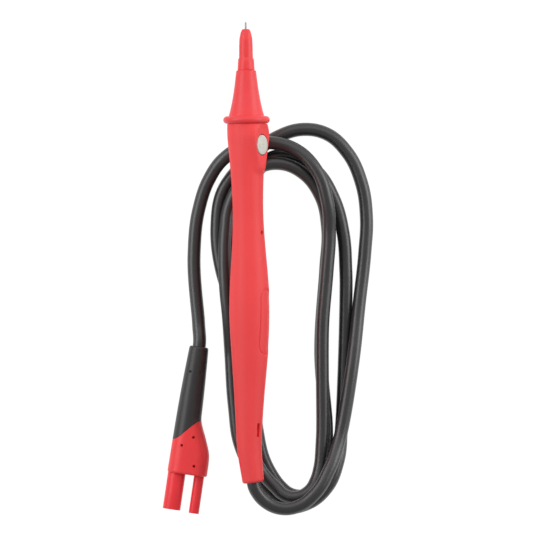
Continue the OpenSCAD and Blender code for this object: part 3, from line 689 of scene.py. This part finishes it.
POCKET_R, POCKET_TOP = 5.4, 6.3
HOLE_R, HOLE_LIP = 4.8, 0.35
CLEAR_OF_SKIN = 10
button_hole = hole(
    facing(BUTTON_AT, BUTTON_TURN),
    [
        (0, 2), (POCKET_R, 2), (POCKET_R, POCKET_TOP), (HOLE_R, POCKET_TOP),
        (HOLE_R, DISH_FACE - HOLE_LIP),
        *[
            (
                HOLE_R + HOLE_LIP * (1 - math.cos(a)),
                DISH_FACE - HOLE_LIP * (1 - math.sin(a)),
            )
            for a in [math.radians(15 * i) for i in range(1, 6)]
        ],
        (HOLE_R + 0.4, DISH_FACE), (HOLE_R + 0.4, CLEAR_OF_SKIN), (0, CLEAR_OF_SKIN),
    ],
    96,
)
mark_top = radius_at(HANDLE_STATIONS, ROUND_MARK_AT)
round_mark = hole(
    facing(ROUND_MARK_AT, ROUND_MARK_TURN),
    [
        (0, mark_top - 1.3), (0.75, mark_top - 1.3), (0.95, mark_top - 1.1),
        (0.95, mark_top - 0.12), (1.15, mark_top + 0.1), (1.15, 9), (0, 9),
    ],
    48,
)
slot_cut = SLOT_DEEP + 2.4
slot_mark = bmesh.new()
bmesh.ops.create_cube(slot_mark, size=1.0)
bmesh.ops.scale(slot_mark, vec=Vector((SLOT_W, slot_cut, SLOT_LEN)) * MM, verts=slot_mark.verts)
upright = [e for e in slot_mark.edges if abs((e.verts[0].co - e.verts[1].co).y) > MM]
bmesh.ops.bevel(
    slot_mark, geom=upright, offset=0.35 * MM, offset_type="OFFSET", affect="EDGES",
    segments=4, profile=0.5, clamp_overlap=True, material=-1,
)
slot_middle = radius_at(HANDLE_STATIONS, SLOT_AT) - SLOT_DEEP + slot_cut / 2
bmesh.ops.transform(
    slot_mark,
    matrix=facing(SLOT_AT, SLOT_TURN) @ Matrix.Translation((0, slot_middle * MM, 0)),
    verts=slot_mark.verts,
)
skin_shape = carved(skin_shape, joined(button_hole, round_mark, slot_mark))
# The outside bows a little to the right, and the inside stays on the core.
for vert in skin_shape.verts:
    d, r = -vert.co.y / MM, math.hypot(vert.co.x, vert.co.z) / MM
    if d < BOW_END:
        outward = smooth((r - radius_at(HANDLE_STATIONS, d) + SKIN_WALL) / SKIN_WALL)
        bow = BOW * smooth((d - HANDLE_AT) / BOW_RISE) * smooth((BOW_END - d) / BOW_FALL)
        vert.co.x += bow * MM * outward

skin_red, soft, soft_shader = new_material("soft_red_skin", Specular_IOR_Level=0.32)
soft_cloud = noise(soft, 11 * MM, 4.0)
soft_grain = noise(soft, 0.22 * MM, 2.0)
soft_rub = ramp(soft, noise(soft, 1.8 * MM, 5.0, (1, 0.06, 1)), 0.50, 0.80)
feed(
    soft_shader, "Base Color",
    tint(soft, soft_cloud * 0.7 + soft_grain * 0.3, (0.85, 0.054, 0.056), (0.92, 0.071, 0.074)),
)
feed(soft_shader, "Roughness", soft_cloud * 0.06 + soft_grain * 0.06 + soft_rub * 0.05 + 0.44)
feed(soft_shader, "Normal", bump(soft, soft_grain, 0.010 * MM))
piece("handle_skin", skin_shape, skin_red, "handle_skin", "handle_skin")


# Lead. A round soft sheath over three conductors, 6 mm thick. It starts at the
# crimped ring in the core, leaves the tail and lies on the bench in three and
# a half loose loops, under the probe and over itself, up to the plug.
LEAD_R = 3.0
SHEATH_END = 158.0
KNOT_REACH = 0.36
PLUG_TURN = math.radians(8.8)
PLUG_ORIGIN = Vector((-32.9, -199.9, -15.5))
RELIEF_U = 1.75
RELIEF_TOP = 58.0
LEAD_IN_PLUG = 40.0
LEAD_ROUTE = [
    (4, -209.5, 21), (7.5, -213.1, 20.5), (13.6, -215.8, 20), (22, -214.9, 19.8),
    (29.8, -209, 19.3), (35.8, -199, 16.8), (40.5, -186, 12), (47.3, -149, 9),
    (50.2, -124.5, 4.8), (53, -101, 3), (53.9, -85.5, 3), (51.6, -68.9, 3),
    (45.6, -55.8, 3), (36, -47, 3), (25, -45, 3), (13.5, -48.5, 3),
    (3, -56, 3), (-11.7, -74.4, 3), (-13.8, -88, 3), (-11.7, -109, 3),
    (-4.5, -129, 3), (2, -147.5, 3), (3.4, -180, 3), (7.4, -196.4, 3),
    (13.8, -206.5, 3), (17.8, -209.8, 3), (22.9, -211, 3), (27.9, -209.8, 3),
    (31.8, -206.4, 3), (33.9, -201.6, 3), (34.7, -195, 3), (35, -180, 3),
    (32.7, -147, 3), (35.3, -108, 3), (36.3, -90, 3.6), (33, -74.9, 7.2),
    (25.9, -65.3, 8.3), (15.5, -60.5, 8.5), (5.5, -62, 9.5), (-2.5, -69, 9),
    (-8, -79, 8), (-10, -92, 8.5), (-10.1, -116, 9.4), (-8.9, -130, 8),
    (-8, -146, 3.5), (-6.6, -170, 3), (-4.1, -187.6, 3), (1.2, -199.4, 3),
    (8.2, -209.4, 4.7), (17, -215.6, 8.3), (26.6, -213.9, 9.1), (35.2, -206.6, 9.1),
    (40, -195.2, 6.9), (41.8, -180, 3), (44.4, -110, 3), (43.3, -92.3, 3),
    (39.1, -76.4, 3), (31.2, -63.7, 3), (20.5, -57.2, 3), (12, -57.3, 3),
    (4, -64.7, 3), (-5, -86, 3), (-5, -100, 3.5), (-3.5, -112, 6.8),
    (-1.5, -125, 9.2), (-1, -146, 9.3), (-0.5, -183, 9.2), (4.5, -198, 9.4),
    (11.2, -206.2, 11.2), (16.2, -210.4, 13), (22.1, -211, 14.1), (27.2, -208.2, 13.7),
    (30.2, -203.4, 11.9), (31.9, -197.6, 10.4), (33.1, -184, 9.2), (33.7, -132, 9.2),
    (35.8, -109, 9.2), (37, -92, 9.7), (36, -77, 12.9), (31.4, -63.8, 13.2),
    (21.6, -54, 11.2), (11, -51, 9.5), (0, -52, 9.5), (-10.2, -57.8, 8),
    (-17.4, -67.6, 4.5), (-21.9, -80.5, 3), (-24.3, -101, 3), (-22.5, -132.5, 4),
]


def in_plug(u=0.0):
    """The plug's frame, moved u across its prongs; its Y axis runs from the prongs to the lead."""
    return (
        Matrix.Translation(PLUG_ORIGIN * MM)
        @ Matrix.Rotation(-PLUG_TURN, 4, "Z")
        @ Matrix.Translation((u * MM, 0, 0))
    )


tail_end = MM * Vector((
    TAIL_LEN * math.sin(TAIL_TURN), -TAIL_AT - TAIL_LEN * math.cos(TAIL_TURN), 0,
))
lead_points = [Vector((0, -TAIL_AT * MM, 0)), tail_end]
lead_points += [Vector((x * MM, y * MM, h * MM + BENCH)) for x, y, h in LEAD_ROUTE]
lead_points += [in_plug(RELIEF_U) @ Vector((0, v * MM, 0)) for v in (RELIEF_TOP, LEAD_IN_PLUG)]

lead_curve = bpy.data.curves.new("lead", "CURVE")
lead_curve.dimensions = "3D"
lead_curve.bevel_depth = LEAD_R * MM
lead_curve.bevel_resolution = 7
lead_curve.resolution_u = 12
lead_curve.use_fill_caps = True
line = lead_curve.splines.new("BEZIER")
line.bezier_points.add(len(lead_points) - 1)
# The lead runs straight out of the tail and into the plug, and level on the bench.
for i, (knot, at) in enumerate(zip(line.bezier_points, lead_points)):
    back = at - lead_points[i - 1] if i else Vector()
    ahead = lead_points[i + 1] - at if i + 1 < len(lead_points) else Vector()
    way = back.normalized() * ahead.length + ahead.normalized() * back.length
    if i == 1:
        way = back.copy()
    if i == len(lead_points) - 2:
        way = ahead.copy()
    if at.z < BENCH + 1.05 * LEAD_R * MM:
        way.z = 0
    way.normalize()
    knot.handle_left_type = knot.handle_right_type = "FREE"
    knot.co = at
    shorter = min(back.length or ahead.length, ahead.length or back.length)
    for handle, side, run in (("handle_left", -1, back.length), ("handle_right", 1, ahead.length)):
        place = at + way * side * min(run, 1.5 * shorter) * KNOT_REACH
        place.z = max(place.z, BENCH + LEAD_R * MM)
        setattr(knot, handle, place)
lead = bpy.data.objects.new("lead", lead_curve)
scene.collection.objects.link(lead)

lead_black, sheath, sheath_shader = new_material("lead_sheath", Specular_IOR_Level=0.8)
patches = noise(sheath, 14 * MM, 3.0)
grain = noise(sheath, 0.3 * MM, 2.0)
scuffs = ramp(sheath, noise(sheath, 2.5 * MM, 5.0), 0.55, 0.8)
feed(
    sheath_shader, "Base Color",
    tint(sheath, patches * 0.7 + scuffs * 0.3, (0.018, 0.017, 0.018), (0.034, 0.033, 0.034)),
)
feed(sheath_shader, "Roughness", patches * 0.06 + grain * 0.03 + scuffs * 0.05 + 0.31)
feed(sheath_shader, "Normal", bump(sheath, grain, 0.003 * MM))
lead_curve.materials.append(lead_black)
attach(lead, "probe")
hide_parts("cable")

gripped_shape = spun(
    [(0, -SHEATH_END), (LEAD_R, -SHEATH_END), (LEAD_R, -TAIL_AT), (0, -TAIL_AT)], 64
)
rounded(gripped_shape, 0.2)
gripped = piece("lead_in_handle", gripped_shape, lead_black, "lead_rubber", "cable")


# Plug moulding. The red body and the black strain relief share one smooth
# form: two round lobes side by side that run together into the tapered relief.
# They meet along a curved seam. Small round marks are sunk in the upper side.
PLUG_R = 6.1
PLUG_BODY_LEN = 25.0
SEAM_LOW = 14.8
SEAM_CURVE = 0.65
SEAM_GUESS = 20.0
SEAM_ROUNDS = 12
FRONT_ROUND = 0.9
TOP_ROUND = 0.9
SEAM_GROOVE = 0.18
LOBE_END = 28
FAR_LOBE = [
    (0, 7.6, 0), (9, 7.5, -0.10), (17, 5.0, -0.38), (25, 1.95, -0.2), (LOBE_END, RELIEF_U, 0),
]
PLUG_RADII = [(0, PLUG_R, -0.016), (PLUG_BODY_LEN, 5.7, -0.02), (RELIEF_TOP, 4.3, -0.06)]
BODY_MARKS, BODY_MARK_R, BODY_MARK_DEEP = [(5.2, 17.1), (0.4, 12.8), (7.3, 4.2)], 0.62, 2.5
RELIEF_MARKS, RELIEF_MARK_R, RELIEF_MARK_DEEP = [(-2.3, 46.3), (2.3, 46.3)], 0.58, 1.1
MARK_LIP = 0.15
MAIN_R, SMALL_R, PRONG_PITCH = 4.0, 2.3, 10.2
ROOT_STEP, ROOT_LEN = 0.2, 2


def seam_at(u):
    """How far behind the prongs the seam crosses the moulding at a place across it."""
    t = (u - RELIEF_U + PLUG_R) / (2 * PLUG_R)
    return SEAM_LOW + (PLUG_BODY_LEN - SEAM_LOW) * (SEAM_CURVE * smooth(t) + (1 - SEAM_CURVE) * t)


def plug_section(v, turn, inset):
    """A point of the moulding's cross-section: two half circles with flats between them."""
    far = radius_at(FAR_LOBE, v) if v < LOBE_END else RELIEF_U
    r = radius_at(PLUG_RADII, v) - inset
    if turn < 0.25:
        arc, middle = turn * 4 * math.pi - math.pi / 2, far
    elif turn < 0.5:
        t = (turn - 0.25) * 4
        return far + (RELIEF_U - far) * t, r
    elif turn < 0.75:
        arc, middle = (turn - 0.5) * 4 * math.pi + math.pi / 2, RELIEF_U
    else:
        t = (turn - 0.75) * 4
        return RELIEF_U + (far - RELIEF_U) * t, -r
    return middle + r * math.cos(arc), r * math.sin(arc)


def quarter(t, size):
    """Inset of a round edge of some size at a distance t from the edge."""
    return size - math.sqrt(max(size * size - (size - min(t, size)) ** 2, 0))


def red_place(t, turn):
    """A point of the red body, from its front at 0 to the seam at 1."""
    v = seam_at(0) * t
    for _ in range(SEAM_ROUNDS):
        u, w = plug_section(v, turn, 0)
        v = seam_at(u) * t
    inset = quarter(v, FRONT_ROUND) + quarter(seam_at(u) - v, SEAM_GROOVE)
    u, w = plug_section(v, turn, inset)
    return Vector((u, v, w)) * MM


def black_place(t, turn):
    """A point of the strain relief, from the seam at 0 to its end at 1."""
    v = SEAM_GUESS
    for _ in range(SEAM_ROUNDS):
        u, w = plug_section(v, turn, 0)
        start = seam_at(u)
        v = start + (RELIEF_TOP - start) * t
    inset = quarter(RELIEF_TOP - v, TOP_ROUND) + quarter(v - start, SEAM_GROOVE)
    u, w = plug_section(v, turn, inset)
    return Vector((u, v, w)) * MM


def eased(t):
    """Rows closer together near both ends."""
    return (1 - math.cos(math.pi * t)) / 2


def moulding_half(place, rows):
    """A tube of quads, put in its place by a function, with both ends closed."""
    shape = bmesh.new()
    bmesh.ops.create_grid(shape, x_segments=rows, y_segments=128, size=0.5)
    for vert in shape.verts:
        vert.co = place(eased(vert.co.x + 0.5), (vert.co.y + 0.5) % 1.0)
    bmesh.ops.remove_doubles(shape, verts=shape.verts, dist=0.0005 * MM)
    rims = [e for e in shape.edges if e.is_boundary]
    bmesh.ops.holes_fill(shape, edges=rims, sides=0)
    bmesh.ops.recalc_face_normals(shape, faces=shape.faces)
    return shape


def bore(u, r, start, end):
    """A round cutter along the plug."""
    return hole(in_plug(u), [(0, start), (r, start), (r, end), (0, end)])


def sunk_mark(u, v, r, deep):
    """A blind round mark in the upper side, with a soft lip."""
    top = radius_at(PLUG_RADII, v)
    upright = Matrix.Translation((0, v * MM, 0)) @ Matrix.Rotation(math.pi / 2, 4, "X")
    outline = [
        (0, top - deep), (r, top - deep), (r, top - 0.1), (r + MARK_LIP, top + 0.05),
        (r + MARK_LIP, 8), (0, 8),
    ]
    return hole(in_plug(u) @ upright, outline, 32)


red_shape = moulding_half(red_place, 60)
bmesh.ops.transform(red_shape, matrix=in_plug(), verts=red_shape.verts)
red_cutters = joined(
    bore(0, MAIN_R - ROOT_STEP, -1, ROOT_LEN + 0.5),
    bore(PRONG_PITCH, SMALL_R - ROOT_STEP, -1, ROOT_LEN + 0.5),
    *[sunk_mark(u, v, BODY_MARK_R, BODY_MARK_DEEP) for u, v in BODY_MARKS],
)
red_shape = carved(red_shape, red_cutters)
plug_red = moulded(
    "plug_red", (0.89, 0.045, 0.050), (0.95, 0.060, 0.066), 0.34, 0.35 * MM, 0.012 * MM,
    Specular_IOR_Level=0.36,
)
red_body = piece("plug_red_body", red_shape, plug_red, "plug_plastic", "plug_body")

black_shape = moulding_half(black_place, 70)
bmesh.ops.transform(black_shape, matrix=in_plug(), verts=black_shape.verts)
black_cutters = joined(
    bore(RELIEF_U, LEAD_R + 0.03, LEAD_IN_PLUG, RELIEF_TOP + 2),
    *[
        sunk_mark(RELIEF_U + u, v, RELIEF_MARK_R, RELIEF_MARK_DEEP)
        for u, v in RELIEF_MARKS
    ],
)
black_shape = carved(black_shape, black_cutters)
relief_black = moulded(
    "relief_black", (0.024, 0.022, 0.022), (0.038, 0.036, 0.036), 0.34, 0.4 * MM, 0.014 * MM
)
relief = piece("plug_strain_relief", black_shape, relief_black, "relief_rubber", "strain_relief")


# Prongs. Each is a plated contact inside an insulating sleeve: the main one a
# 4 mm pin with a slotted spring cage, the small one a plain pin.
carrier_cream = moulded(
    "carrier_cream", (0.52, 0.48, 0.35), (0.62, 0.58, 0.44), 0.40, 0.4 * MM, 0.010 * MM
)
dress(carrier_cream, "contact_carrier")
dress(
    metal("plated_brass", (0.62, 0.48, 0.22), (0.80, 0.66, 0.36), 0.18, (0.02, 1, 0.02)),
    "main_pin", "small_pin",
)
dress(
    metal("spring_bronze", (0.50, 0.36, 0.15), (0.66, 0.50, 0.24), 0.26, (1, 0.05, 1)),
    "main_spring_cage",
)
sleeve_red = moulded(
    "sleeve_red", (0.89, 0.034, 0.044), (0.95, 0.048, 0.058), 0.30, 0.5 * MM, 0.006 * MM,
    Specular_IOR_Level=0.36,
)


def sleeve(name, node, u, r, bore_r, length):
    """A tube with a slimmer root that is set into the red body."""
    outline = [
        (bore_r, -length), (r, -length), (r, 0), (r - ROOT_STEP, 0), (r - ROOT_STEP, ROOT_LEN),
        (bore_r, ROOT_LEN),
    ]
    shape = spun(outline, 96, closed=True)
    rounded(shape, 0.3, 4)
    bmesh.ops.transform(shape, matrix=in_plug(u), verts=shape.verts)
    return piece(name, shape, sleeve_red, "sleeve_plastic", node)


main_sleeve = sleeve("main_prong_sleeve", "main_sleeve", 0, MAIN_R, 3.2, 16.6)
small_sleeve = sleeve("small_prong_sleeve", "small_sleeve", PRONG_PITCH, SMALL_R, 1.8, 17.0)
